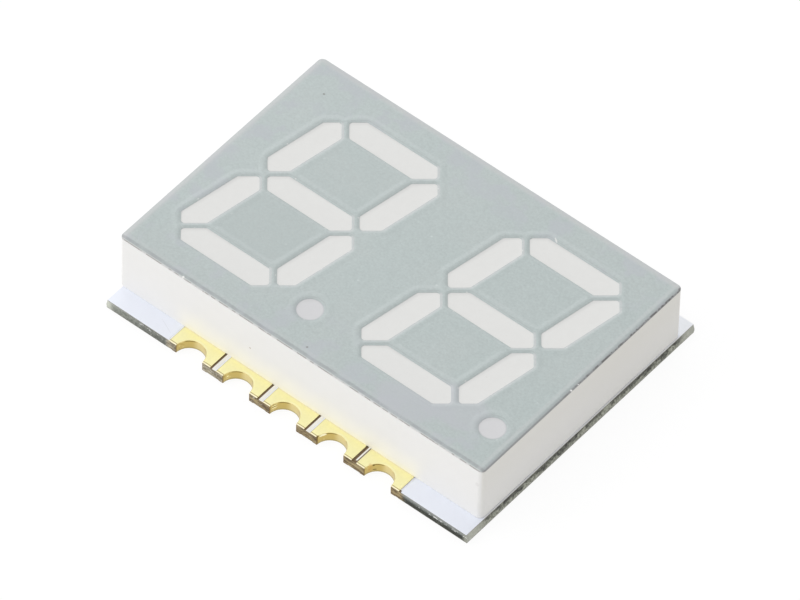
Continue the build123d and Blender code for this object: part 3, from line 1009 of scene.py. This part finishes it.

# %% [markdown]
# ## Gold terminals
#
# Each terminal is copper with a thin, pale gold finish. The half-round notch was drilled and
# plated before the board was routed, so its wall is duller than the pads, its rim has a brown
# line along its back, and the router left a dark burr on its left mouth. Painted highlights and
# painted shade lie on its wall, rim, mouth and front.
# All of these follow the place beside the nearest terminal, so that one material serves all ten.
# The marks that single notches carry are laid over it.

# %% Gold on the pads and in the notches
gold, tree, shader = new_material("gold_plate", metallic=1.0, roughness=0.4)
rough = group_node(tree, grain, size=0.12, amount=0.10, colour=srgb(249, 244, 190))
by_terminal = group_node(tree, beside)
across, inwards = by_terminal.outputs["Across"], by_terminal.outputs["Inwards"]
place = place_in_mm(tree)
x, _, z = axes_of(tree, place)
_, _, normal_z = facing(tree)
pad_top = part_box(TERMINALS[0])[1].z / MM
wall = smooth_step(tree, maths(tree, "ABSOLUTE", normal_z), 0.6, 0.4)
drilled = times(tree, wall, smooth_step(tree, inwards, 0.005, 0.02))
upper = smooth_step(tree, normal_z, 0.5, 0.9)

# The way round the notch: 0 at its right mouth, 90 degrees at its back and 180 at its left mouth.
way_round = maths(tree, "ARCTAN2", inwards, across)
squares = maths(tree, "ADD", times(tree, across, across), times(tree, inwards, inwards))
radius = maths(tree, "SQRT", squares)


def round_notch(start, end, soft):
    """1 between two angles round the notch, in degrees."""
    return within(tree, way_round, radians(start), radians(end), radians(soft))


# The barrel is dull gold, painted darker on its left and lighter on its right as painted shade and light.
barrel = lay(tree, srgb(207, 184, 110), (smooth_step(tree, across, -0.38, -0.05), srgb(228, 211, 150)),
             (smooth_step(tree, across, 0.15, 0.5), srgb(213, 194, 132)))
barrel_foot = times(tree, drilled, smooth_step(tree, z, 0.11, 0.04), 0.6)
colour = lay(tree, rough.outputs["Colour"], (drilled, barrel), (barrel_foot, srgb(160, 146, 94)))
print("gold:", len(tree.nodes), "nodes")

# %% The rim of each notch
# Each line is laid over the ones before it. The radius and the heights are in millimetres. The
# pale ring just outside the rim and the bright patches at the left mouth are painted highlights.
uneven = noise(tree, place, 7.0, detail=3.0)
brown_line = within(tree, z, pad_top - 0.062, pad_top - 0.035, 0.014)
under_rim = smooth_step(tree, z, pad_top - 0.12, pad_top - 0.03)
rim_edge = smooth_step(tree, radius, notch_radius + 0.04, notch_radius)
rim_highlight_ring = within(tree, radius, notch_radius + 0.04, notch_radius + 0.07, 0.02)
near_mouth = times(tree, drilled, round_notch(150, 172, 8))
mouth_top = smooth_step(tree, z, pad_top - 0.09, pad_top - 0.05)
colour = lay(
    tree, colour,
    (times(tree, drilled, brown_line, round_notch(113, 138, 12)), srgb(124, 102, 40)),
    (times(tree, drilled, under_rim, round_notch(16, 58, 8), 0.5), srgb(160, 138, 84)),
    (times(tree, upper, rim_edge, round_notch(16, 60, 8), 0.5), srgb(190, 170, 108)),
    (times(tree, upper, rim_highlight_ring, round_notch(50, 98, 12), 0.35), srgb(255, 252, 225)),
    (times(tree, near_mouth, mouth_top, 0.6), srgb(244, 228, 164)),
    (times(tree, near_mouth, smooth_step(tree, uneven, 0.56, 0.66), 0.35), srgb(246, 232, 170)),
    (times(tree, near_mouth, smooth_step(tree, uneven, 0.46, 0.36), 0.3), srgb(140, 114, 54)),
    (times(tree, drilled, round_notch(176, 180, 1.5), 0.5), srgb(104, 88, 42)))
print("with its rims:", len(tree.nodes), "nodes")

# %% The sheared front and the foot of the housing
# The router left the copper's cut edge brown below, partly a painted shadow, and painted bright
# above as a painted highlight. The pad's front carries a painted highlight, with a painted shade
# line behind it. Beside the housing the gold is paler.
cut = times(tree, wall, smooth_step(tree, inwards, 0.02, 0.005))
cut_rise = smooth_step(tree, z, pad_top - 0.05, pad_top - 0.03)
sheared = blend_colours(tree, cut_rise, srgb(128, 98, 54), srgb(252, 242, 206))
front_highlight = times(tree, upper, smooth_step(tree, inwards, 0.055, 0.04))
front_shade_line = times(tree, upper, within(tree, inwards, 0.06, 0.08, 0.02), 0.7)
wall_reach = housing_low.y / MM - board_low.y / MM
by_wall = times(tree, upper, smooth_step(tree, inwards, wall_reach - 0.09, wall_reach - 0.03), 0.7)
colour = lay(tree, colour, (cut, sheared), (front_highlight, srgb(253, 246, 214)),
             (front_shade_line, srgb(152, 124, 70)), (by_wall, srgb(243, 236, 200)))
print("with its cut front:", len(tree.nodes), "nodes")

# %% Burrs in single notches, and painted highlights on their curls and scallops
CURL_HIGHLIGHT, DULL_HIGHLIGHT, DARK_BURR = srgb(255, 250, 214), srgb(252, 240, 178), srgb(112, 88, 34)
colour = add_marks(tree, colour, (
    ((1.91, -7.24, 0.42), (0.17, 0.08, 0.06), -65, 1.0, CURL_HIGHLIGHT),
    ((1.83, -7.50, 0.48), (0.05, 0.09, 0.05), 0, 0.9, DARK_BURR),
    ((1.83, -7.50, 0.25), (0.04, 0.05, 0.25), 0, 0.6, DARK_BURR),
    ((-0.66, -7.30, 0.405), (0.16, 0.07, 0.02), -69, 0.6, DARK_BURR),
    ((-0.66, -7.30, 0.355), (0.14, 0.07, 0.03), -69, 1.0, DULL_HIGHLIGHT),
    ((-0.66, -7.30, 0.290), (0.15, 0.07, 0.02), -69, 0.8, DARK_BURR),
    ((-0.66, -7.30, 0.225), (0.15, 0.07, 0.035), -69, 1.0, DULL_HIGHLIGHT),
    ((-3.20, -7.28, 0.26), (0.045, 0.06, 0.03), 0, 1.0, DULL_HIGHLIGHT),
    ((4.52, -7.10, 0.42), (0.05, 0.06, 0.05), 0, 0.9, DARK_BURR),
    ((4.54, -7.07, 0.15), (0.09, 0.09, 0.03), 0, 0.9, DARK_BURR),
    ((4.42, -7.22, 0.30), (0.10, 0.14, 0.25), 0, 0.35, srgb(214, 168, 92)),
    ((-6.19, -6.53, 0.5), (0.04, 0.03, 0.05), 0, 0.8, srgb(90, 70, 40))))

# The white ink has crept over the left edge of each pad, except the last two on the right.
INK_EDGE = -1.085
not_last = smooth_step(tree, x, 3.2, 3.0)
crept = times(tree, upper, smooth_step(tree, across, INK_EDGE, INK_EDGE - 0.01), not_last)
ink_line = times(tree, upper, within(tree, across, INK_EDGE, INK_EDGE + 0.015, 0.008), not_last, 0.5)
colour = lay(tree, colour, (ink_line, srgb(150, 136, 100)), (crept, MASK_WHITE))
put(tree, colour, shader.inputs["Base Color"])
put(tree, maths(tree, "SUBTRACT", 1.0, crept), shader.inputs["Metallic"])
bump(tree, shader, rough.outputs["Height"], 0.004 * MM)
print("whole gold finish:", len(tree.nodes), "nodes")

# %% Terminal pieces
TERMINAL_RADIUS = 0.008 * MM
for number, node in enumerate(TERMINALS, start=1):
    terminal = copy_of(node, f"gold_terminal_{number}")
    soften(terminal, is_sharp, TERMINAL_RADIUS, segments=2)
    finish_piece(terminal, node, gold)

# %% [markdown]
# ## Dice and wires inside the resin
#
# The milky resin hides the pads, dice and bond wires, so the solids carry over as they are and
# only get their finishes.

# %% Inner materials
inner_colours = {
    "copper_pads": (gold, None),
    "die_attach": (new_material("silver_epoxy", metallic=0.6, roughness=0.5)[0], srgb(170, 170, 168)),
    "led_die": (new_material("led_crystal", roughness=0.2)[0], srgb(120, 124, 110)),
    "bond_wires": (new_material("fine_gold_wire", metallic=1.0, roughness=0.25)[0], srgb(245, 215, 130)),
}
for start, (material, colour) in inner_colours.items():
    if colour:
        tree = material.node_tree
        rough = group_node(tree, grain, size=0.05, amount=0.1, colour=colour)
        put(tree, rough.outputs["Colour"], tree.nodes["Principled BSDF"].inputs["Base Color"])
    for name, node in nodes.items():
        if name.startswith(start):
            node.data.materials.clear()
            node.data.materials.append(material)
print("inner finishes:", list(inner_colours))
